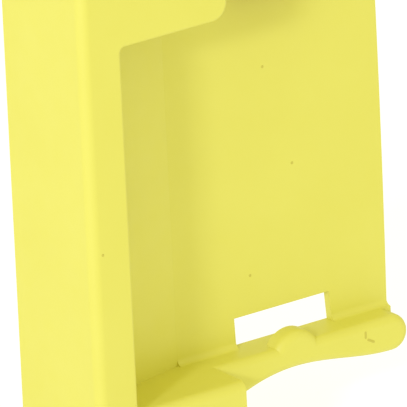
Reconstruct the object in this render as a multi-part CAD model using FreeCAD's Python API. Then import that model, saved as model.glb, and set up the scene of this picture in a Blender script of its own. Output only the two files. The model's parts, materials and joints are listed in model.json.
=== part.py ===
import FreeCAD, Part
import math
import os

# Snap-on lockout bracket with a sliding padlock hasp.  Millimetres, +Z up, +X along the back plate,
# +Y from the front of the bracket to its back.  Every function below measures from the lower front left
# corner of the C-shaped frame; save() then puts the origin at the middle of the flat base.

# ---- frame ----
FRAME_WIDTH = 40.5
FRAME_DEPTH = 30.3
ARM_HEIGHT = 22.0
THROAT_HEIGHT = 87.0
COLUMN_WIDTH = 10.7
WALL = 2.0
COLUMN_EDGE_RADIUS = 2.4
BASE_EDGE_RADIUS = 2.2
ARM_TIP_RADIUS = 4.2
THROAT_CORNER_RADIUS = 1.2
OUTER_CORNER_RADIUS = 3.0
THROAT_EDGE_RADIUS = 0.9

# ---- back plate, window slot and ramp ----
PLATE_FRONT = 19.2
PLATE_THICKNESS = 2.0
PLATE_END_LOW = 94.4
PLATE_END_HIGH = 95.0
PLATE_END_BOW = 0.35
SLOT_LEFT = 51.7
SLOT_WIDTH = 26.7
SLOT_HEIGHT = 7.2
SLOT_LEAN_LEFT = 0.25
SLOT_LEAN_RIGHT = 0.5
RAMP_END = 35.4
RAMP_RISE = 6.4
ROOT_FILLET = 1.6

# ---- lip along the foot of the plate ----
LIP_DEPTH = 7.6
LIP_END = 95.1
LIP_END_RADIUS = 4.3
LIP_SHOULDER_X = 79.5
LIP_SHOULDER_HEIGHT = 7.5
LIP_NECK_X = 65.5
LIP_NECK_HEIGHT = 5.7
LIP_BEND_X = 51.5
LIP_BEND_HEIGHT = 7.5
LIP_ROOT_HEIGHT = 13.4
LIP_ROOT_SLOPE = 0.6
LIP_EDGE_RADIUS = 1.9
BUMP_X = 63.9
BUMP_HALF_WIDTH = 5.7
BUMP_HEIGHT = 3.1
BUMP_DEPTH = 4.6
BUMP_FOOT = 3.0

# ---- sliding hasp ----
TRAVEL = 28.0
BAR_THICKNESS = 3.0
BAR_WIDTH = 14.0
BAR_FRONT = 5.0
BAR_GAP = 0.2
BAR_BOTTOM = 26.0
SHACKLE_RADIUS = 4.25
BAR_HOLE_RADIUS = 4.4
SHACKLE_HEIGHT = 143.0
EAR_RADIUS = 7.4
EAR_SIDE_GAP = 1.0
BAR_CORNER_RADIUS = 1.5
GUIDE_HEIGHT = 11.0
GUIDE_GAP = 0.1
GUIDE_BLIND_END = 3.0
GRIP_BOTTOM = 152.0
GRIP_HEIGHT = 14.0
GRIP_WIDTH = 10.0
GRIP_LENGTH = 32.0
GRIP_EDGE_RADIUS = 3.0
GRIP_SOCKET_DEPTH = 9.0
GRIP_PIN_OFFSET = 3.5
GRIP_PIN_RISE = 5.0
GRIP_PIN_SUNK = 0.4
LUG_BOTTOM = 61.5
LUG_HEIGHT = 13.0
LUG_FRONT = 8.2
LUG_WIDTH = 4.6
LUG_REACH = 15.2
LUG_CORNER_RADIUS = 1.5
LUG_GAP = 0.3
LUG_FOOT = 1.5
LUG_FOOT_FRONT = 7.0
LUG_FOOT_BACK = 14.2
LUG_FOOT_END = 3.5
SEAT_BOTTOM = 80.0
SEAT_THICKNESS = 1.4
SEAT_FLANGE_HEIGHT = 9.4
SEAT_FLANGE_FRONT = 11.0
SEAT_FLANGE_BACK = 20.4
SEAT_FOOT_FRONT = 19.2
SEAT_FOOT_BACK = 26.5
SEAT_SIDE_GAP = 0.6
ROD_Y = 23.3
ROD_RADIUS = 1.1
ROD_SEAT_GAP = 0.3
ROD_CLIP_RADIUS = 2.4
ROD_CLIP_THICKNESS = 0.6
ROD_CLIP_MOUTH = 1.8
ROD_CLIP_GAP = 0.4
SPRING_RADIUS = 2.2
SPRING_WIRE_RADIUS = 0.35
SPRING_TURNS = 10
STOP_PIN_RADIUS = 1.25
STOP_PIN_OFFSET = 1.8
STOP_PIN_GAP = 0.05
STOP_PIN_END_GAP = 0.6
PIN_RADIUS = 1.5
RIVET_RADIUS = 1.2
LUG_RIVET_Y = 11.0
LUG_RIVET_INSET = 1.7
SEAT_RIVET_Y = 14.5
SEAT_RIVET_RISES = (3.2, 7.2)
FIT_GAP = 0.02
CUT_OVERRUN = 1.0
SAME_PLACE = 0.01

# ---- hinged top clip ----
HINGE_Z = 114.5
HINGE_PIN_RADIUS = 1.5
HINGE_RUNNING_GAP = 0.05
BARREL_RADIUS = 3.4
KNUCKLE_RADIUS = 4.0
KNUCKLE_THICKNESS = 3.2
CLIP_LEFT = 53.5
CLIP_WIDTH = 23.0
CLIP_SIDE_GAP = 0.3
JAW_FRONT = 10.3
JAW_RISE = 0.6
JAW_THICKNESS = 2.6
JAW_NIB_DEPTH = 2.4
JAW_NIB_BOTTOM = 108.6
TAB_WIDTH = 18.0
TAB_TOP = 131.0
TAB_THICKNESS = 2.4
TAB_CORNER_RADIUS = 5.0
TAB_RIBS = 4
TAB_RIB_RADIUS = 0.5
TAB_RIB_MARGIN = 4.0
TAB_RIB_PITCH = 2.4
PAD_THICKNESS = 1.4
PAD_END_GAP = 1.0
PAD_FRONT_GAP = 0.2
PAD_PLATE_GAP = 2.6
PIN_END = 1.5
CAP_RADIUS = 2.8
CAP_LENGTH = 2.1
CAP_KNUCKLE_GAP = 0.1

# ---- rear cover and its screws ----
COVER_THICKNESS = 2.5
COVER_GAP = 0.3
COVER_CORNER_RADIUS = 1.0
SCREW_RADIUS = 1.38
SCREW_LENGTH = 6.5
SCREW_HEAD_RADIUS = 2.7
SCREW_HEAD_HEIGHT = 1.4
SCREW_HEAD_EDGE = 0.5
SCREW_INSET_LEFT = 5.4
SCREW_INSET_RIGHT = 7.0
RECESS_HALF_LENGTH = 1.6
RECESS_HALF_WIDTH = 0.3
RECESS_DEPTH = 0.9
BOSS_RADIUS = 3.4
BOSS_FLOOR = 0.5
LABEL_WIDTH = 22.0
LABEL_HEIGHT = 60.0
LABEL_THICKNESS = 0.7
LABEL_RECESS_DEPTH = 0.8
LABEL_CORNER_RADIUS = 2.0
LABEL_OFFSET = 2.0

# ---- worked out from the sizes above ----
FLOOR = ARM_HEIGHT
CEILING = ARM_HEIGHT + THROAT_HEIGHT
TOP = CEILING + ARM_HEIGHT
PLATE_BACK = PLATE_FRONT + PLATE_THICKNESS
LIP_FRONT = PLATE_FRONT - LIP_DEPTH
COVER_FRONT = FRAME_DEPTH - COVER_THICKNESS
HINGE_Y = PLATE_FRONT + PLATE_THICKNESS / 2
ARM_INNER = FRAME_WIDTH - WALL
COLUMN_MIDDLE = COLUMN_WIDTH / 2
COLUMN_INNER = COLUMN_WIDTH - WALL
BAR_LEFT = COLUMN_MIDDLE - BAR_THICKNESS / 2
BAR_RIGHT = COLUMN_MIDDLE + BAR_THICKNESS / 2
BAR_BACK = BAR_FRONT + BAR_WIDTH
BAR_MIDDLE = BAR_FRONT + BAR_WIDTH / 2
BAR_TOP = GRIP_BOTTOM + GRIP_SOCKET_DEPTH
GUIDE_LOW = TOP - WALL - GUIDE_HEIGHT
LOW_GUIDE_LOW = BAR_BOTTOM - GUIDE_HEIGHT / 2
SCREW_LEFT = COLUMN_WIDTH + SCREW_INSET_LEFT
SCREW_RIGHT = FRAME_WIDTH - SCREW_INSET_RIGHT
SCREW_PLACES = [
    (SCREW_LEFT, ARM_HEIGHT / 2),
    (SCREW_RIGHT, ARM_HEIGHT / 2),
    (SCREW_LEFT, TOP - ARM_HEIGHT / 2),
    (SCREW_RIGHT, TOP - ARM_HEIGHT / 2),
    (SCREW_RIGHT, TOP / 2),
]
LUG_RIVETS = [
    (LUG_RIVET_Y, LUG_BOTTOM - LUG_RIVET_INSET),
    (LUG_RIVET_Y, LUG_BOTTOM + LUG_HEIGHT + LUG_RIVET_INSET),
]
SEAT_RIVETS = [(SEAT_RIVET_Y, SEAT_BOTTOM + rise) for rise in SEAT_RIVET_RISES]

X_AXIS = FreeCAD.Vector(1, 0, 0)
Y_AXIS = FreeCAD.Vector(0, 1, 0)
Z_AXIS = FreeCAD.Vector(0, 0, 1)


def point(x, y, z):
    return FreeCAD.Vector(x, y, z)


def block(x0, x1, y0, y1, z0, z1):
    return Part.makeBox(x1 - x0, y1 - y0, z1 - z0, point(x0, y0, z0))


def rod(radius, length, x, y, z, axis):
    return Part.makeCylinder(radius, length, point(x, y, z), axis)


def fuse_all(shapes):
    whole = shapes[0]
    for shape in shapes[1:]:
        whole = whole.fuse(shape)
    return whole.removeSplitter()


def cut_all(shape, tools):
    for tool in tools:
        shape = shape.cut(tool)
    return shape


def line(start, end):
    return Part.LineSegment(start, end).toShape()


def arc(start, middle, end):
    return Part.Arc(start, middle, end).toShape()


def rounded_outline(corners, radii, place):
    """A closed wire through the corners, each rounded by its own radius; place() maps 2D to space."""
    count = len(corners)
    edges = []
    ends = []
    for i in range(count):
        corner = FreeCAD.Vector(*corners[i], 0)
        to_last = (FreeCAD.Vector(*corners[i - 1], 0) - corner).normalize()
        to_next = (FreeCAD.Vector(*corners[(i + 1) % count], 0) - corner).normalize()
        half = to_last.getAngle(to_next) / 2
        run = radii[i] / math.tan(half)
        inward = (to_last + to_next).normalize()
        centre = corner + inward * (radii[i] / math.sin(half))
        middle = centre - inward * radii[i]
        ends.append((corner + to_last * run, middle, corner + to_next * run))
    for i in range(count):
        start, middle, end = ends[i]
        if radii[i] > 0:
            edges.append(arc(place(start), place(middle), place(end)))
        edges.append(line(place(end), place(ends[(i + 1) % count][0])))
    return Part.Wire(edges)


def front_view_prism(corners, radii, y0, y1):
    """A prism whose outline is drawn in X and Z and which runs from y0 to y1."""
    wire = rounded_outline(corners, radii, lambda p: point(p.x, y0, p.y))
    return Part.Face(wire).extrude(point(0, y1 - y0, 0))


def side_view_prism(corners, radii, x0, x1):
    """A prism whose outline is drawn in Y and Z and which runs from x0 to x1."""
    wire = rounded_outline(corners, radii, lambda p: point(x0, p.x, p.y))
    return Part.Face(wire).extrude(point(x1 - x0, 0, 0))


def plan_view_prism(corners, z0, z1):
    """A prism whose outline is drawn in X and Y and which runs from z0 to z1."""
    wire = Part.makePolygon([point(x, y, z0) for x, y in corners + corners[:1]])
    return Part.Face(wire).extrude(point(0, 0, z1 - z0))


def edges_where(shape, test):
    """The edges whose two ends and middle all pass the test."""
    found = []
    for edge in shape.Edges:
        middle = edge.valueAt((edge.FirstParameter + edge.LastParameter) / 2)
        if test(middle) and all(test(v.Point) for v in edge.Vertexes):
            found.append(edge)
    return found


def near(a, b):
    return abs(a - b) < SAME_PLACE


# ---- the moulded body ----


def frame_outside():
    corners = [
        (0, 0),
        (FRAME_WIDTH, 0),
        (FRAME_WIDTH, FLOOR),
        (COLUMN_WIDTH, FLOOR),
        (COLUMN_WIDTH, CEILING),
        (FRAME_WIDTH, CEILING),
        (FRAME_WIDTH, TOP),
        (0, TOP),
    ]
    radii = [0, OUTER_CORNER_RADIUS, 0, 0, THROAT_CORNER_RADIUS, ARM_TIP_RADIUS, OUTER_CORNER_RADIUS, 0]
    front = front_view_prism(corners, radii, 0, PLATE_FRONT)
    low_front = edges_where(front, lambda p: near(p.y, 0) and near(p.z, FLOOR))
    front = front.makeFillet(BASE_EDGE_RADIUS, low_front)
    left = edges_where(front, lambda p: near(p.x, 0) and near(p.y, 0))
    front = front.makeFillet(COLUMN_EDGE_RADIUS, left)
    throat_side = edges_where(
        front, lambda p: near(p.x, COLUMN_WIDTH) and near(p.y, 0)
    )
    front = front.makeFillet(THROAT_EDGE_RADIUS, throat_side)
    square = [(0, 0), (FRAME_WIDTH, 0), (FRAME_WIDTH, TOP), (0, TOP)]
    radii = [0, OUTER_CORNER_RADIUS, OUTER_CORNER_RADIUS, 0]
    rear = front_view_prism(square, radii, PLATE_FRONT, FRAME_DEPTH)
    return front.fuse(rear)


def plate():
    """The flat back plate, with a slightly bowed free edge and hinge knuckles on its top edge."""
    low_end = point(PLATE_END_LOW, PLATE_FRONT, FLOOR - LIP_END_RADIUS)
    high_end = point(PLATE_END_HIGH, PLATE_FRONT, CEILING)
    middle = (low_end + high_end) * 0.5 + X_AXIS * PLATE_END_BOW
    low_root = point(ARM_INNER, PLATE_FRONT, FLOOR - LIP_END_RADIUS)
    high_root = point(ARM_INNER, PLATE_FRONT, CEILING)
    edges = [
        line(low_root, low_end),
        arc(low_end, middle, high_end),
        line(high_end, high_root),
        line(high_root, low_root),
    ]
    sheet = Part.Face(Part.Wire(edges)).extrude(point(0, PLATE_THICKNESS, 0))
    return fuse_all([sheet] + [knuckle(x) for x in knuckle_places()])


def knuckle_places():
    right = CLIP_LEFT + CLIP_WIDTH + CLIP_SIDE_GAP
    return [CLIP_LEFT - CLIP_SIDE_GAP - KNUCKLE_THICKNESS, right]


def knuckle(x):
    """An eye on the plate's top edge, carried down the back of the plate by a gusset."""
    right = x + KNUCKLE_THICKNESS
    back = HINGE_Y + KNUCKLE_RADIUS
    web = block(x, right, HINGE_Y - KNUCKLE_RADIUS, back, CEILING, HINGE_Z)
    web = web.fuse(block(x, right, PLATE_FRONT, back, CEILING - KNUCKLE_RADIUS, CEILING))
    eye = rod(KNUCKLE_RADIUS, KNUCKLE_THICKNESS, x, HINGE_Y, HINGE_Z, X_AXIS)
    hole = rod(HINGE_PIN_RADIUS + FIT_GAP, KNUCKLE_THICKNESS, x, HINGE_Y, HINGE_Z, X_AXIS)
    return web.fuse(eye).cut(hole)


def ramp():
    """The shallow slope that leads from the plate up to the column."""
    rise = [
        (COLUMN_INNER, PLATE_BACK),
        (COLUMN_INNER, PLATE_FRONT - RAMP_RISE),
        (COLUMN_WIDTH, PLATE_FRONT - RAMP_RISE),
        (RAMP_END, PLATE_FRONT),
        (RAMP_END, PLATE_BACK),
    ]
    return plan_view_prism(rise, FLOOR - WALL, CEILING + WALL)


def ramp_hollow():
    inside = [
        (COLUMN_WIDTH, FRAME_DEPTH),
        (COLUMN_WIDTH, PLATE_FRONT - RAMP_RISE + WALL),
        (RAMP_END, PLATE_BACK),
        (RAMP_END, FRAME_DEPTH),
    ]
    return plan_view_prism(inside, FLOOR, CEILING)


def lip():
    """The bar along the plate's foot: thin at its neck, deeper at its rounded free end."""
    end_x = LIP_END - LIP_END_RADIUS
    low = FLOOR - 2 * LIP_END_RADIUS
    root = point(ARM_INNER, LIP_FRONT, FLOOR)
    top_end = point(end_x, LIP_FRONT, FLOOR)
    tip = point(LIP_END, LIP_FRONT, FLOOR - LIP_END_RADIUS)
    low_end = point(end_x, LIP_FRONT, low)
    low_root = point(ARM_INNER, LIP_FRONT, FLOOR - LIP_ROOT_HEIGHT)
    underside = Part.BSplineCurve()
    underside.interpolate(
        Points=[
            low_end,
            point(LIP_SHOULDER_X, LIP_FRONT, FLOOR - LIP_SHOULDER_HEIGHT),
            point(LIP_NECK_X, LIP_FRONT, FLOOR - LIP_NECK_HEIGHT),
            point(LIP_BEND_X, LIP_FRONT, FLOOR - LIP_BEND_HEIGHT),
            low_root,
        ],
        InitialTangent=point(-1, 0, 0),
        FinalTangent=point(-1, 0, -LIP_ROOT_SLOPE),
    )
    edges = [
        line(root, top_end),
        arc(top_end, tip, low_end),
        underside.toShape(),
        line(low_root, root),
    ]
    bar = Part.Face(Part.Wire(edges)).extrude(point(0, PLATE_BACK - LIP_FRONT, 0))
    front = edges_where(bar, lambda p: near(p.y, LIP_FRONT))
    front = [edge for edge in front if edge.BoundBox.XMax > FRAME_WIDTH]
    return bar.makeFillet(LIP_EDGE_RADIUS, front).fuse(bump())


def bump():
    """The low half-round nib on the lip, in front of the slot."""
    radius = (BUMP_HALF_WIDTH**2 + BUMP_HEIGHT**2) / (2 * BUMP_HEIGHT)
    high = FLOOR + BUMP_HEIGHT
    back = LIP_FRONT + BUMP_DEPTH
    drum = rod(radius, BUMP_DEPTH, BUMP_X, LIP_FRONT, high - radius, Y_AXIS)
    above = block(BUMP_X - radius, BUMP_X + radius, LIP_FRONT, back, FLOOR - BUMP_FOOT, high)
    nib = drum.common(above)
    crown = [
        edge
        for edge in nib.Edges
        if near(edge.BoundBox.YMax, LIP_FRONT) and edge.BoundBox.ZMax > FLOOR
    ]
    return nib.makeFillet(LIP_EDGE_RADIUS, crown)


def root_fillet():
    """The hollow corner between the plate and the floor, carried on along the top of the lip."""
    front = PLATE_FRONT - ROOT_FILLET
    high = FLOOR + ROOT_FILLET
    strip = block(RAMP_END, PLATE_END_LOW, front, PLATE_FRONT, FLOOR - ROOT_FILLET, high)
    length = PLATE_END_LOW - RAMP_END
    return strip.cut(rod(ROOT_FILLET, length, RAMP_END, front, high, X_AXIS))


def window_slot():
    right = SLOT_LEFT + SLOT_WIDTH
    corners = [
        (SLOT_LEFT + SLOT_LEAN_LEFT, FLOOR),
        (right + SLOT_LEAN_RIGHT, FLOOR),
        (right, FLOOR + SLOT_HEIGHT),
        (SLOT_LEFT, FLOOR + SLOT_HEIGHT),
    ]
    front = PLATE_FRONT - ROOT_FILLET
    return front_view_prism(corners, [0, 0, 0, 0], front, PLATE_BACK + CUT_OVERRUN)


def hollows():
    """The open-backed pockets of the column, of both arms and behind the plate."""
    column = block(WALL, COLUMN_INNER, WALL, FRAME_DEPTH, WALL, TOP - WALL)
    low_arm = block(COLUMN_WIDTH, ARM_INNER, WALL, FRAME_DEPTH, WALL, FLOOR - WALL)
    high_arm = block(COLUMN_WIDTH, ARM_INNER, WALL, FRAME_DEPTH, CEILING + WALL, TOP - WALL)
    behind = block(COLUMN_WIDTH, ARM_INNER, PLATE_BACK, FRAME_DEPTH, WALL, TOP - WALL)
    seat = block(WALL, ARM_INNER, COVER_FRONT, FRAME_DEPTH, WALL, TOP - WALL)
    return [column, low_arm, high_arm, behind, seat, ramp_hollow()]


def screw_boss(x, z):
    front = WALL
    if FLOOR < z < CEILING:
        front = PLATE_FRONT + WALL / 2
    boss = rod(BOSS_RADIUS, COVER_FRONT - front, x, front, z, Y_AXIS)
    bore_start = FRAME_DEPTH - SCREW_HEAD_HEIGHT - SCREW_LENGTH - BOSS_FLOOR
    bore = rod(SCREW_RADIUS + FIT_GAP, COVER_FRONT - bore_start, x, bore_start, z, Y_AXIS)
    return boss.cut(bore)


def hasp_ear(x0, x1):
    """One of the two upright ears on the column's top that a padlock shackle passes through."""
    web = block(x0, x1, BAR_MIDDLE - EAR_RADIUS, BAR_MIDDLE + EAR_RADIUS, TOP - WALL, SHACKLE_HEIGHT)
    eye = rod(EAR_RADIUS, x1 - x0, x0, BAR_MIDDLE, SHACKLE_HEIGHT, X_AXIS)
    hole = rod(SHACKLE_RADIUS, x1 - x0, x0, BAR_MIDDLE, SHACKLE_HEIGHT, X_AXIS)
    return web.fuse(eye).cut(hole)


def bar_slot():
    gap = 2 * BAR_GAP
    low = TOP - WALL - CUT_OVERRUN
    high = TOP + CUT_OVERRUN
    return block(BAR_LEFT - gap, BAR_RIGHT + gap, BAR_FRONT - gap, BAR_BACK + gap, low, high)


def lug_slot():
    return block(
        COLUMN_INNER - CUT_OVERRUN,
        COLUMN_WIDTH + CUT_OVERRUN,
        LUG_FRONT - LUG_GAP,
        LUG_FRONT + LUG_WIDTH + LUG_GAP,
        LUG_BOTTOM - LUG_GAP,
        LUG_BOTTOM + LUG_HEIGHT + TRAVEL + LUG_GAP,
    )


def body_moulding():
    body = fuse_all([frame_outside(), ramp()])
    body = cut_all(body, hollows())
    added = [plate(), lip(), root_fillet()]
    added += [screw_boss(x, z) for x, z in SCREW_PLACES]
    added.append(hasp_ear(0, BAR_LEFT - EAR_SIDE_GAP))
    added.append(hasp_ear(BAR_RIGHT + EAR_SIDE_GAP, COLUMN_WIDTH))
    body = fuse_all([body] + added)
    return cut_all(body, [window_slot(), bar_slot(), lug_slot()])


# ---- rear cover ----


def rear_cover():
    low = WALL + COVER_GAP
    right = FRAME_WIDTH - WALL - COVER_GAP
    corners = [(low, low), (right, low), (right, TOP - low), (low, TOP - low)]
    cover = front_view_prism(corners, [COVER_CORNER_RADIUS] * 4, COVER_FRONT, FRAME_DEPTH)
    head_seat = FRAME_DEPTH - SCREW_HEAD_HEIGHT
    for x, z in SCREW_PLACES:
        cover = cover.cut(rod(SCREW_RADIUS + COVER_GAP, COVER_THICKNESS, x, COVER_FRONT, z, Y_AXIS))
        cover = cover.cut(rod(SCREW_HEAD_RADIUS + COVER_GAP, COVER_THICKNESS, x, head_seat, z, Y_AXIS))
    return cover.cut(label_outline(FIT_GAP, FRAME_DEPTH - LABEL_RECESS_DEPTH, FRAME_DEPTH))


def label_outline(margin, front, back):
    middle = FRAME_WIDTH / 2 - LABEL_OFFSET
    left = middle - LABEL_WIDTH / 2 - margin
    right = middle + LABEL_WIDTH / 2 + margin
    low = (TOP - LABEL_HEIGHT) / 2 - margin
    high = (TOP + LABEL_HEIGHT) / 2 + margin
    corners = [(left, low), (right, low), (right, high), (left, high)]
    return front_view_prism(corners, [LABEL_CORNER_RADIUS] * 4, front, back)


def label_panel():
    """A blank write-on panel that lies in the cover's recess, a little below its face."""
    bottom = FRAME_DEPTH - LABEL_RECESS_DEPTH
    return label_outline(0, bottom, bottom + LABEL_THICKNESS)


def cover_screws():
    screws = []
    head_base = FRAME_DEPTH - SCREW_HEAD_HEIGHT
    recess = FRAME_DEPTH - RECESS_DEPTH
    long, wide = RECESS_HALF_LENGTH, RECESS_HALF_WIDTH
    for x, z in SCREW_PLACES:
        head = rod(SCREW_HEAD_RADIUS, SCREW_HEAD_HEIGHT, x, head_base, z, Y_AXIS)
        rim = edges_where(head, lambda p: near(p.y, FRAME_DEPTH))
        head = head.makeFillet(SCREW_HEAD_EDGE, rim)
        shank = rod(SCREW_RADIUS, SCREW_LENGTH, x, head_base - SCREW_LENGTH, z, Y_AXIS)
        across = block(x - long, x + long, recess, FRAME_DEPTH, z - wide, z + wide)
        upright = block(x - wide, x + wide, recess, FRAME_DEPTH, z - long, z + long)
        screws.append(cut_all(head.fuse(shank), [across, upright]))
    return Part.makeCompound(screws)


# ---- what the column holds ----


def slide_guide(low, slot_floor):
    """A guide block for the bar, with a hole for the spring's rod."""
    guide = block(
        WALL + GUIDE_GAP,
        COLUMN_INNER - GUIDE_GAP,
        WALL + GUIDE_GAP,
        COVER_FRONT - GUIDE_GAP,
        low,
        low + GUIDE_HEIGHT - GUIDE_GAP,
    )
    slot = block(
        BAR_LEFT - BAR_GAP,
        BAR_RIGHT + BAR_GAP,
        BAR_FRONT - BAR_GAP,
        BAR_BACK + BAR_GAP,
        slot_floor,
        low + GUIDE_HEIGHT,
    )
    return guide.cut(slot)


def rod_hole(low):
    length = GUIDE_HEIGHT - GUIDE_BLIND_END
    return rod(ROD_RADIUS + FIT_GAP, length, COLUMN_MIDDLE, ROD_Y, low, Z_AXIS)


def upper_slide_guide():
    return slide_guide(GUIDE_LOW, GUIDE_LOW).cut(rod_hole(GUIDE_LOW))


def lower_slide_guide():
    return slide_guide(LOW_GUIDE_LOW, BAR_BOTTOM).cut(rod_hole(LOW_GUIDE_LOW + GUIDE_BLIND_END))


def spring_guide_rod():
    low = LOW_GUIDE_LOW + GUIDE_BLIND_END
    high = GUIDE_LOW + GUIDE_HEIGHT - GUIDE_BLIND_END
    return rod(ROD_RADIUS, high - low, COLUMN_MIDDLE, ROD_Y, low, Z_AXIS)


def rod_retaining_clip():
    z = LOW_GUIDE_LOW + GUIDE_HEIGHT + ROD_CLIP_GAP
    ring = rod(ROD_CLIP_RADIUS, ROD_CLIP_THICKNESS, COLUMN_MIDDLE, ROD_Y, z, Z_AXIS)
    hole = rod(ROD_RADIUS + FIT_GAP, ROD_CLIP_THICKNESS, COLUMN_MIDDLE, ROD_Y, z, Z_AXIS)
    left = COLUMN_MIDDLE - ROD_CLIP_MOUTH / 2
    right = COLUMN_MIDDLE + ROD_CLIP_MOUTH / 2
    mouth = block(left, right, ROD_Y, ROD_Y + ROD_CLIP_RADIUS, z, z + ROD_CLIP_THICKNESS)
    return cut_all(ring, [hole, mouth])


def return_spring():
    low = SEAT_BOTTOM + SEAT_THICKNESS + SPRING_WIRE_RADIUS + FIT_GAP
    length = GUIDE_LOW - low - SPRING_WIRE_RADIUS - FIT_GAP
    path = Part.makeHelix(length / SPRING_TURNS, length, SPRING_RADIUS)
    section = Part.Wire(
        Part.makeCircle(SPRING_WIRE_RADIUS, point(SPRING_RADIUS, 0, 0), point(0, 1, 0))
    )
    coil = Part.Wire(path.Edges).makePipeShell([section], True, True)
    coil.translate(point(COLUMN_MIDDLE, ROD_Y, low))
    return coil


def slide_bar():
    corners = [
        (BAR_FRONT, BAR_BOTTOM),
        (BAR_BACK, BAR_BOTTOM),
        (BAR_BACK, BAR_TOP),
        (BAR_FRONT, BAR_TOP),
    ]
    bar = side_view_prism(corners, [BAR_CORNER_RADIUS] * 4, BAR_LEFT, BAR_RIGHT)
    holes = [rod(BAR_HOLE_RADIUS, BAR_THICKNESS, BAR_LEFT, BAR_MIDDLE, SHACKLE_HEIGHT, X_AXIS)]
    for y, z in LUG_RIVETS + SEAT_RIVETS:
        holes.append(rod(RIVET_RADIUS + FIT_GAP, BAR_THICKNESS, BAR_LEFT, y, z, X_AXIS))
    for y, z in grip_pin_places():
        holes.append(rod(PIN_RADIUS + FIT_GAP, BAR_THICKNESS, BAR_LEFT, y, z, X_AXIS))
    y, z = stop_pin_place()
    holes.append(rod(STOP_PIN_RADIUS + FIT_GAP, BAR_THICKNESS, BAR_LEFT, y, z, X_AXIS))
    return cut_all(bar, holes)


def stop_pin_place():
    """The pin meets the upper guide's underside when the bar is fully up."""
    height = GUIDE_LOW - TRAVEL - STOP_PIN_RADIUS - STOP_PIN_GAP
    return BAR_FRONT + STOP_PIN_OFFSET, height


def stop_pin():
    y, z = stop_pin_place()
    length = COLUMN_INNER - WALL - 2 * STOP_PIN_END_GAP
    return rod(STOP_PIN_RADIUS, length, WALL + STOP_PIN_END_GAP, y, z, X_AXIS)


def blocking_lug():
    """The lug that reaches through the column's inner wall and keeps a breaker's handle down."""
    inner = BAR_RIGHT + LUG_FOOT
    high = LUG_BOTTOM + LUG_HEIGHT
    foot = block(
        BAR_RIGHT, inner, LUG_FOOT_FRONT, LUG_FOOT_BACK, LUG_BOTTOM - LUG_FOOT_END, high + LUG_FOOT_END
    )
    corners = [(inner, LUG_BOTTOM), (LUG_REACH, LUG_BOTTOM), (LUG_REACH, high), (inner, high)]
    radii = [0, LUG_CORNER_RADIUS, LUG_CORNER_RADIUS, 0]
    nose = front_view_prism(corners, radii, LUG_FRONT, LUG_FRONT + LUG_WIDTH)
    holes = [rod(RIVET_RADIUS + FIT_GAP, LUG_FOOT, BAR_RIGHT, y, z, X_AXIS) for y, z in LUG_RIVETS]
    return cut_all(fuse_all([foot, nose]), holes)


def spring_seat():
    """A bent plate riveted to the bar; the return spring pushes down on its foot."""
    right = BAR_RIGHT + SEAT_THICKNESS
    high = SEAT_BOTTOM + SEAT_FLANGE_HEIGHT
    flange = block(BAR_RIGHT, right, SEAT_FLANGE_FRONT, SEAT_FLANGE_BACK, SEAT_BOTTOM, high)
    left = WALL + SEAT_SIDE_GAP
    foot_top = SEAT_BOTTOM + SEAT_THICKNESS
    foot = block(left, right, SEAT_FOOT_FRONT, SEAT_FOOT_BACK, SEAT_BOTTOM, foot_top)
    rod_radius = ROD_RADIUS + ROD_SEAT_GAP
    holes = [rod(rod_radius, SEAT_THICKNESS, COLUMN_MIDDLE, ROD_Y, SEAT_BOTTOM, Z_AXIS)]
    for y, z in SEAT_RIVETS:
        holes.append(rod(RIVET_RADIUS + FIT_GAP, SEAT_THICKNESS, BAR_RIGHT, y, z, X_AXIS))
    return cut_all(fuse_all([flange, foot]), holes)


def slide_rivets():
    length = BAR_THICKNESS + SEAT_THICKNESS
    places = LUG_RIVETS + SEAT_RIVETS
    return Part.makeCompound([rod(RIVET_RADIUS, length, BAR_LEFT, y, z, X_AXIS) for y, z in places])


# ---- pull grip ----


def grip_pin_places():
    z = GRIP_BOTTOM + GRIP_PIN_RISE
    return [(BAR_MIDDLE - GRIP_PIN_OFFSET, z), (BAR_MIDDLE + GRIP_PIN_OFFSET, z)]


def pull_grip():
    left = COLUMN_MIDDLE - GRIP_WIDTH / 2
    front = BAR_MIDDLE - GRIP_LENGTH / 2
    back = BAR_MIDDLE + GRIP_LENGTH / 2
    grip = block(left, left + GRIP_WIDTH, front, back, GRIP_BOTTOM, GRIP_BOTTOM + GRIP_HEIGHT)
    grip = grip.makeFillet(GRIP_EDGE_RADIUS, grip.Edges)
    socket = block(
        BAR_LEFT - FIT_GAP,
        BAR_RIGHT + FIT_GAP,
        BAR_FRONT - FIT_GAP,
        BAR_BACK + FIT_GAP,
        GRIP_BOTTOM,
        BAR_TOP + FIT_GAP,
    )
    radius = PIN_RADIUS + FIT_GAP
    holes = [rod(radius, GRIP_WIDTH, left, y, z, X_AXIS) for y, z in grip_pin_places()]
    return cut_all(grip, [socket] + holes)


def grip_pins():
    left = COLUMN_MIDDLE - GRIP_WIDTH / 2 + GRIP_PIN_SUNK
    length = GRIP_WIDTH - 2 * GRIP_PIN_SUNK
    return Part.makeCompound([rod(PIN_RADIUS, length, left, y, z, X_AXIS) for y, z in grip_pin_places()])


# ---- hinged top clip ----


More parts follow.
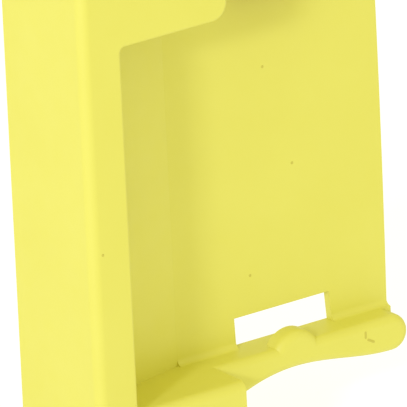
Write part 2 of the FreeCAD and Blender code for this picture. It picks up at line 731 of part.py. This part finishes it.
def clip_lever():
    right = CLIP_LEFT + CLIP_WIDTH
    middle = CLIP_LEFT + CLIP_WIDTH / 2
    barrel = rod(BARREL_RADIUS, CLIP_WIDTH, CLIP_LEFT, HINGE_Y, HINGE_Z, X_AXIS)
    top = HINGE_Z + JAW_RISE
    jaw = block(CLIP_LEFT, right, JAW_FRONT, HINGE_Y, top - JAW_THICKNESS, top)
    nib = block(CLIP_LEFT, right, JAW_FRONT, JAW_FRONT + JAW_NIB_DEPTH, JAW_NIB_BOTTOM, top)
    tab_left = middle - TAB_WIDTH / 2
    tab_right = middle + TAB_WIDTH / 2
    corners = [(tab_left, HINGE_Z), (tab_right, HINGE_Z), (tab_right, TAB_TOP), (tab_left, TAB_TOP)]
    radii = [0, 0, TAB_CORNER_RADIUS, TAB_CORNER_RADIUS]
    tab_front = HINGE_Y - TAB_THICKNESS / 2
    tab = front_view_prism(corners, radii, tab_front, tab_front + TAB_THICKNESS)
    ribs = []
    for i in range(TAB_RIBS):
        z = TAB_TOP - TAB_RIB_MARGIN - TAB_RIB_PITCH * i
        length = TAB_WIDTH - 2 * TAB_RIB_MARGIN
        ribs.append(rod(TAB_RIB_RADIUS, length, tab_left + TAB_RIB_MARGIN, tab_front, z, X_AXIS))
    lever = fuse_all([barrel, jaw, nib, tab] + ribs)
    hole_radius = HINGE_PIN_RADIUS + HINGE_RUNNING_GAP
    return lever.cut(rod(hole_radius, CLIP_WIDTH, CLIP_LEFT, HINGE_Y, HINGE_Z, X_AXIS))


def jaw_pad():
    left = CLIP_LEFT + PAD_END_GAP
    right = CLIP_LEFT + CLIP_WIDTH - PAD_END_GAP
    front = JAW_FRONT + JAW_NIB_DEPTH + PAD_FRONT_GAP
    top = HINGE_Z + JAW_RISE - JAW_THICKNESS
    return block(left, right, front, PLATE_FRONT - PAD_PLATE_GAP, top - PAD_THICKNESS, top)


def clip_hinge_pin():
    left, right = knuckle_places()
    length = right + KNUCKLE_THICKNESS - left + 2 * PIN_END
    return rod(HINGE_PIN_RADIUS, length, left - PIN_END, HINGE_Y, HINGE_Z, X_AXIS)


def pin_caps():
    """Two caps pressed on the pin's ends, just clear of the knuckles' outer faces."""
    left, right = knuckle_places()
    outer = right + KNUCKLE_THICKNESS
    pin = clip_hinge_pin_hole()
    caps = []
    for x in (left - CAP_KNUCKLE_GAP - CAP_LENGTH, outer + CAP_KNUCKLE_GAP):
        caps.append(rod(CAP_RADIUS, CAP_LENGTH, x, HINGE_Y, HINGE_Z, X_AXIS).cut(pin))
    return Part.makeCompound(caps)


def clip_hinge_pin_hole():
    left, right = knuckle_places()
    reach = PIN_END + FIT_GAP
    length = right + KNUCKLE_THICKNESS - left + 2 * reach
    return rod(HINGE_PIN_RADIUS + FIT_GAP, length, left - reach, HINGE_Y, HINGE_Z, X_AXIS)


NODES = {
    "body_moulding": body_moulding,
    "rear_cover": rear_cover,
    "cover_screws": cover_screws,
    "label_panel": label_panel,
    "upper_slide_guide": upper_slide_guide,
    "lower_slide_guide": lower_slide_guide,
    "spring_guide_rod": spring_guide_rod,
    "rod_retaining_clip": rod_retaining_clip,
    "return_spring": return_spring,
    "slide_bar": slide_bar,
    "stop_pin": stop_pin,
    "blocking_lug": blocking_lug,
    "spring_seat": spring_seat,
    "slide_rivets": slide_rivets,
    "pull_grip": pull_grip,
    "grip_pins": grip_pins,
    "clip_lever": clip_lever,
    "jaw_pad": jaw_pad,
    "clip_hinge_pin": clip_hinge_pin,
    "pin_caps": pin_caps,
}


def save(name, shape):
    shape.translate(point(-FRAME_WIDTH / 2, -FRAME_DEPTH / 2, 0))
    state = "valid" if shape.isValid() else "NOT VALID"
    print(name, state, "solids", len(shape.Solids), "mm3", round(shape.Volume, 1))
    shape.exportStep(f"parts/{name}.step")


os.makedirs("parts", exist_ok=True)
for node, build in NODES.items():
    save(node, build())
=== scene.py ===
import json
import math

import bmesh
import bpy
from mathutils import Matrix, Vector


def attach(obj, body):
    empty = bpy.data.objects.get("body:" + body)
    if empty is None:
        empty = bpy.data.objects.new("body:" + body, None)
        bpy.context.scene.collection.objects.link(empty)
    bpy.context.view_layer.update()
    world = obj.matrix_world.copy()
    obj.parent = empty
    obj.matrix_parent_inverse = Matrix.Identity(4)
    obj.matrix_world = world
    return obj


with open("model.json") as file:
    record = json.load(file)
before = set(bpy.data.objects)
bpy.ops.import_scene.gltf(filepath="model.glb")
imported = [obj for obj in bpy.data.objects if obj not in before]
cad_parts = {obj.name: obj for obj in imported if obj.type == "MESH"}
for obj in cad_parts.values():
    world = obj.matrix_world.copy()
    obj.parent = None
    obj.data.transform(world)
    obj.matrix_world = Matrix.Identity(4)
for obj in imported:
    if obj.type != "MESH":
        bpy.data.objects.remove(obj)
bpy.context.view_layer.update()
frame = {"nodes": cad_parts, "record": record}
MM = 0.001

# ---- sizes of the CAD model that the added pieces lie on, in millimetres ----
# They are measured from the frame's left face, front plane and base; at() gives the place in the row frame.
ORIGIN = Vector((20.25, 15.15, 0.0))
FLOOR = 22.0
LIP_FRONT = 11.6
PLATE_FRONT = 19.2
LABEL_FACE = 30.2
LABEL_MIDDLE = 18.25
LABEL_HALF_WIDTH = 11.0
COLUMN_MIDDLE = 5.35
GRIP_MIDDLE_Y = 12.0
GRIP_RIBS_MIDDLE_Z = 161.0
GRIP_HALF_THICKNESS = 5.0


def at(x, y, z):
    return (Vector((x, y, z)) - ORIGIN) * MM


# ---- camera: left of and above the bracket, tilted a little, with a long lens ----
CAMERA_AZIMUTH = math.radians(-35.3)
CAMERA_ELEVATION = math.radians(19.77)
CAMERA_ROLL = math.radians(2.77)
CAMERA_LENS = 1652.0
CAMERA_DISTANCE = 4.193
CAMERA_TARGET = Vector((10.9, -15.15, 67.2)) * MM
SENSOR_WIDTH = 36.0
CLIP_END = 100.0


def make_camera():
    a, e, r = CAMERA_AZIMUTH, CAMERA_ELEVATION, CAMERA_ROLL
    back = Vector((math.sin(a) * math.cos(e), -math.cos(a) * math.cos(e), math.sin(e)))
    level = Vector((0, 0, 1)).cross(back).normalized()
    upright = back.cross(level)
    across = math.cos(r) * level - math.sin(r) * upright
    up = math.sin(r) * level + math.cos(r) * upright
    data = bpy.data.cameras.new("camera")
    data.sensor_width = SENSOR_WIDTH
    data.lens = CAMERA_LENS
    data.clip_end = CLIP_END
    camera = bpy.data.objects.new("camera", data)
    turn = Matrix((across, up, back)).transposed().to_4x4()
    camera.matrix_world = Matrix.Translation(CAMERA_TARGET + back * CAMERA_DISTANCE) @ turn
    bpy.context.scene.collection.objects.link(camera)
    bpy.context.scene.camera = camera


# ---- light: a soft key from the upper left, a wide fill from above in front and a pale world ----
WORLD_COLOUR = (1.0, 0.965, 0.72, 1.0)
WORLD_STRENGTH = 0.88
LIGHT_DISTANCE = 1.5
KEY_DIRECTION = Vector((1.83, 1.0, -0.80)).normalized()
KEY_SIZE = 0.15
KEY_POWER = 7.4
KEY_COLOUR = (0.94, 0.96, 1.9)
FILL_DIRECTION = Vector((0.1, 0.7, -1.0)).normalized()
FILL_SIZE = 1.2
FILL_POWER = 1.2
FILL_COLOUR = (1.0, 0.97, 0.85)
FLOOR_ALBEDO = 0.35
FLOOR_ROUGHNESS = 0.9
FLOOR_GLOW = 0.76
FLOOR_SIZE = 30.0
FLOOR_DROP = 0.2 * MM


def make_world():
    world = bpy.data.worlds.new("studio")
    world.use_nodes = True
    background = world.node_tree.nodes["Background"]
    background.inputs["Color"].default_value = WORLD_COLOUR
    background.inputs["Strength"].default_value = WORLD_STRENGTH
    bpy.context.scene.world = world
    bpy.context.scene.view_settings.view_transform = "Standard"


def make_light(name, direction, size, power, colour):
    data = bpy.data.lights.new(name, "AREA")
    data.size = size
    data.energy = power
    data.color = colour
    light = bpy.data.objects.new(name, data)
    light.location = CAMERA_TARGET - direction * LIGHT_DISTANCE
    light.rotation_mode = "QUATERNION"
    light.rotation_quaternion = direction.to_track_quat("-Z", "Y")
    bpy.context.scene.collection.objects.link(light)


def make_floor():
    mesh = bpy.data.meshes.new("floor")
    half = FLOOR_SIZE / 2
    corners = [(-half, -half, 0), (half, -half, 0), (half, half, 0), (-half, half, 0)]
    mesh.from_pydata(corners, [], [(0, 1, 2, 3)])
    floor = bpy.data.objects.new("floor", mesh)
    floor.location.z = -FLOOR_DROP
    material = bpy.data.materials.new("floor_white")
    material.use_nodes = True
    shader = material.node_tree.nodes["Principled BSDF"]
    shader.inputs["Base Color"].default_value = (FLOOR_ALBEDO, FLOOR_ALBEDO, FLOOR_ALBEDO, 1.0)
    shader.inputs["Roughness"].default_value = FLOOR_ROUGHNESS
    shader.inputs["Specular IOR Level"].default_value = 0.0
    shader.inputs["Emission Color"].default_value = (1.0, 1.0, 1.0, 1.0)
    shader.inputs["Emission Strength"].default_value = FLOOR_GLOW
    mesh.materials.append(material)
    bpy.context.scene.collection.objects.link(floor)


# ---- materials: noise scales are in waves per metre, bump heights in metres ----
CLOUD_SCALE = 45.0
SCUFF_SCALE = 520.0
SCUFF_START = 0.66
SCUFF_FULL = 0.74
SCUFF_SHARE = 0.5
SATIN_SCALE = 260.0
SKIN_SCALE = 60.0
SKIN_STRENGTH = 0.25
SKIN_HEIGHT = 0.4 * MM
GRAIN_SCALE = 2400.0
GRAIN_STRENGTH = 0.12
GRAIN_HEIGHT = 0.06 * MM
STREAK_SCALE = 900.0
STREAK_STRENGTH = 0.15
STREAK_HEIGHT = 0.04 * MM
PLATING_SCALE = 300.0


class Nodes:
    """A material's node tree with short calls to add and link nodes."""

    def __init__(self, name):
        self.material = bpy.data.materials.new(name)
        self.material.use_nodes = True
        self.tree = self.material.node_tree
        self.shader = self.tree.nodes["Principled BSDF"]
        self.place = self.add("ShaderNodeTexCoord").outputs["Object"]

    def add(self, kind, **values):
        node = self.tree.nodes.new(kind)
        for key, value in values.items():
            setattr(node, key, value)
        return node

    def link(self, source, target):
        self.tree.links.new(source, target)

    def stretch(self, scale):
        """The textures made after this are drawn out along the axes with a small scale."""
        node = self.add("ShaderNodeMapping")
        node.inputs["Scale"].default_value = scale
        self.link(self.place, node.inputs["Vector"])
        self.place = node.outputs["Vector"]

    def noise(self, scale, detail=4.0, roughness=0.5):
        node = self.add("ShaderNodeTexNoise")
        node.inputs["Scale"].default_value = scale
        node.inputs["Detail"].default_value = detail
        node.inputs["Roughness"].default_value = roughness
        self.link(self.place, node.inputs["Vector"])
        return node.outputs["Fac"]

    def spread(self, value, low_in, high_in, low_out, high_out):
        node = self.add("ShaderNodeMapRange")
        for key, number in (
            ("From Min", low_in),
            ("From Max", high_in),
            ("To Min", low_out),
            ("To Max", high_out),
        ):
            node.inputs[key].default_value = number
        self.link(value, node.inputs["Value"])
        return node.outputs["Result"]

    def mix(self, share, low, high):
        node = self.add("ShaderNodeMix", data_type="RGBA")
        low_socket, high_socket = node.inputs[6], node.inputs[7]
        self.link(share, node.inputs[0])
        for socket, colour in ((low_socket, low), (high_socket, high)):
            if isinstance(colour, tuple):
                socket.default_value = (*colour, 1.0)
            else:
                self.link(colour, socket)
        return node.outputs[2]

    def bump(self, height, strength, distance, below=None):
        node = self.add("ShaderNodeBump")
        node.inputs["Strength"].default_value = strength
        node.inputs["Distance"].default_value = distance
        self.link(height, node.inputs["Height"])
        if below:
            self.link(below, node.inputs["Normal"])
        return node.outputs["Normal"]


def moulded_plastic(name, colour, deep, scuffed, roughness):
    """Satin moulded plastic: cloudy colour, sparse pale scuffs, fine grain and a slightly wavy skin."""
    n = Nodes(name)
    clouds = n.spread(n.noise(CLOUD_SCALE, 3.0), 0.35, 0.65, 0.0, 1.0)
    scuff_noise = n.noise(SCUFF_SCALE, 6.0, 0.7)
    scuffs = n.spread(scuff_noise, SCUFF_START, SCUFF_FULL, 0.0, SCUFF_SHARE)
    n.link(n.mix(scuffs, n.mix(clouds, deep, colour), scuffed), n.shader.inputs["Base Color"])
    polish = n.spread(n.noise(SATIN_SCALE, 3.0), 0.3, 0.7, roughness - 0.05, roughness + 0.06)
    n.link(polish, n.shader.inputs["Roughness"])
    skin = n.bump(n.noise(SKIN_SCALE, 2.0), SKIN_STRENGTH, SKIN_HEIGHT)
    grain = n.bump(n.noise(GRAIN_SCALE, 2.0), GRAIN_STRENGTH, GRAIN_HEIGHT, skin)
    n.link(grain, n.shader.inputs["Normal"])
    return n.material


def metal(name, colour, deep, roughness, stretch):
    """Plated or drawn steel: fine streaks along the part and a cloudy roughness."""
    n = Nodes(name)
    n.shader.inputs["Metallic"].default_value = 1.0
    n.stretch(stretch)
    streaks = n.noise(STREAK_SCALE, 4.0, 0.6)
    n.link(n.mix(n.spread(streaks, 0.3, 0.7, 0.0, 1.0), deep, colour), n.shader.inputs["Base Color"])
    polish = n.spread(n.noise(PLATING_SCALE), 0.3, 0.7, roughness - 0.08, roughness + 0.1)
    n.link(polish, n.shader.inputs["Roughness"])
    n.link(n.bump(streaks, STREAK_STRENGTH, STREAK_HEIGHT), n.shader.inputs["Normal"])
    return n.material


def make_materials():
    along_bar, even = (1.0, 1.0, 0.08), (1.0, 1.0, 1.0)
    return {
        "yellow_nylon": moulded_plastic(
            "yellow_nylon_skin", (0.735, 0.70, 0.092), (0.725, 0.688, 0.086), (0.75, 0.715, 0.115), 0.5
        ),
        "red_nylon": moulded_plastic(
            "red_nylon_skin", (0.50, 0.022, 0.018), (0.44, 0.018, 0.016), (0.58, 0.09, 0.07), 0.4
        ),
        "black_nylon": moulded_plastic(
            "black_nylon_skin", (0.022, 0.022, 0.024), (0.014, 0.014, 0.016), (0.07, 0.07, 0.07), 0.5
        ),
        "white_acetal": moulded_plastic(
            "white_acetal_skin", (0.78, 0.78, 0.75), (0.72, 0.72, 0.69), (0.84, 0.84, 0.82), 0.35
        ),
        "black_rubber": moulded_plastic(
            "black_rubber_skin", (0.03, 0.03, 0.03), (0.02, 0.02, 0.02), (0.12, 0.12, 0.11), 0.75
        ),
        "label_film": moulded_plastic(
            "label_film_skin", (0.82, 0.82, 0.8), (0.78, 0.78, 0.76), (0.7, 0.7, 0.68), 0.3
        ),
        "zinc_steel": metal("zinc_steel_skin", (0.62, 0.63, 0.64), (0.5, 0.51, 0.53), 0.34, along_bar),
        "spring_steel": metal("spring_steel_skin", (0.42, 0.42, 0.43), (0.3, 0.3, 0.31), 0.28, even),
    }


def dress_nodes(materials):
    for part in frame["record"]["subparts"]:
        node = frame["nodes"][part["node"]]
        node.data.materials.clear()
        node.data.materials.append(materials[part["material_slot"]])


# ---- added pieces: low beads moulded on or lying on a surface ----


def bead(name, body, material, start, end, radius, height, facing):
    """A low rounded ridge from start to end, half sunk in the surface that faces along facing."""
    run = end - start
    along = run.normalized() if run.length > 0 else facing.orthogonal().normalized()
    across = facing.cross(along)
    shape = bmesh.new()
    bmesh.ops.create_uvsphere(shape, u_segments=BEAD_SEGMENTS, v_segments=BEAD_RINGS, radius=1.0)
    for vertex in shape.verts:
        side, forward, out = vertex.co
        reach = forward * radius * MM + math.copysign(run.length / 2, forward)
        vertex.co = across * (side * radius * MM) + along * reach + facing * (out * height * MM)
    mesh = bpy.data.meshes.new(name)
    shape.to_mesh(mesh)
    shape.free()
    for face in mesh.polygons:
        face.use_smooth = True
    mesh.materials.append(material)
    piece = bpy.data.objects.new(name, mesh)
    piece.location = (start + end) / 2
    bpy.context.scene.collection.objects.link(piece)
    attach(piece, body)


BEAD_SEGMENTS = 24
BEAD_RINGS = 12
FRONT = Vector((0, -1, 0))
BACK = Vector((0, 1, 0))
SPECK_PLACES = [
    (69.8, PLATE_FRONT, FLOOR + 40.3),
    (62.8, PLATE_FRONT, FLOOR + 65.1),
    (56.7, PLATE_FRONT, FLOOR + 16.4),
    (2.9, 0.0, FLOOR + 39.9),
]
LIP_MARKS = [
    ("lip_mark_upright", (82.7, LIP_FRONT, FLOOR - 2.0), (82.7, LIP_FRONT, FLOOR - 3.2)),
    ("lip_mark_foot", (83.4, LIP_FRONT, FLOOR - 3.9), (84.9, LIP_FRONT, FLOOR - 4.7)),
]
SPECK_RADIUS = 0.36
SPECK_HEIGHT = 0.07
MARK_RADIUS = 0.3
MARK_HEIGHT = 0.09
RULE_RADIUS = 0.16
RULE_HEIGHT = 0.05
RULES = 5
RULE_LOW = 44.5
RULE_PITCH = 10.5
RULE_MARGIN = 2.5
GRIP_RIBS = 3
GRIP_RIB_RADIUS = 0.5
GRIP_RIB_HEIGHT = 0.25
GRIP_RIB_HALF_LENGTH = 9.0
GRIP_RIB_PITCH = 1.5


def make_flow_marks(material):
    """Small dark flow marks of the moulding: on the plate, on the column's front and on the lip."""
    for i, spot in enumerate(SPECK_PLACES):
        name, place = f"flow_speck_{i + 1}", at(*spot)
        bead(name, "frame", material, place, place, SPECK_RADIUS, SPECK_HEIGHT, FRONT)
    for name, first, last in LIP_MARKS:
        start, end = at(*first), at(*last)
        bead(name, "frame", material, start, end, MARK_RADIUS, MARK_HEIGHT, FRONT)


def make_label_rules(material):
    """Blank writing lines on the label panel."""
    left = LABEL_MIDDLE - LABEL_HALF_WIDTH + RULE_MARGIN
    right = LABEL_MIDDLE + LABEL_HALF_WIDTH - RULE_MARGIN
    for i in range(RULES):
        z = RULE_LOW + RULE_PITCH * i
        start, end = at(left, LABEL_FACE, z), at(right, LABEL_FACE, z)
        name = f"label_rule_{i + 1}"
        bead(name, "frame", material, start, end, RULE_RADIUS, RULE_HEIGHT, BACK)


def make_grip_ribs(material):
    """Fine ribs on both broad sides of the pull grip."""
    for side, word in ((-1, "left"), (1, "right")):
        x = COLUMN_MIDDLE + side * GRIP_HALF_THICKNESS
        for i in range(GRIP_RIBS):
            z = GRIP_RIBS_MIDDLE_Z + GRIP_RIB_PITCH * (i - (GRIP_RIBS - 1) / 2)
            start = at(x, GRIP_MIDDLE_Y - GRIP_RIB_HALF_LENGTH, z)
            end = at(x, GRIP_MIDDLE_Y + GRIP_RIB_HALF_LENGTH, z)
            name = f"grip_rib_{word}_{i + 1}"
            facing = Vector((side, 0, 0))
            bead(name, "slide", material, start, end, GRIP_RIB_RADIUS, GRIP_RIB_HEIGHT, facing)


make_world()
make_light("key", KEY_DIRECTION, KEY_SIZE, KEY_POWER, KEY_COLOUR)
make_light("fill", FILL_DIRECTION, FILL_SIZE, FILL_POWER, FILL_COLOUR)
make_floor()
materials = make_materials()
dress_nodes(materials)
flow_mark = moulded_plastic(
    "flow_mark_skin", (0.60, 0.54, 0.06), (0.55, 0.49, 0.05), (0.62, 0.56, 0.07), 0.6
)
make_flow_marks(flow_mark)
make_label_rules(materials["black_nylon"])
make_grip_ribs(materials["red_nylon"])
make_camera()
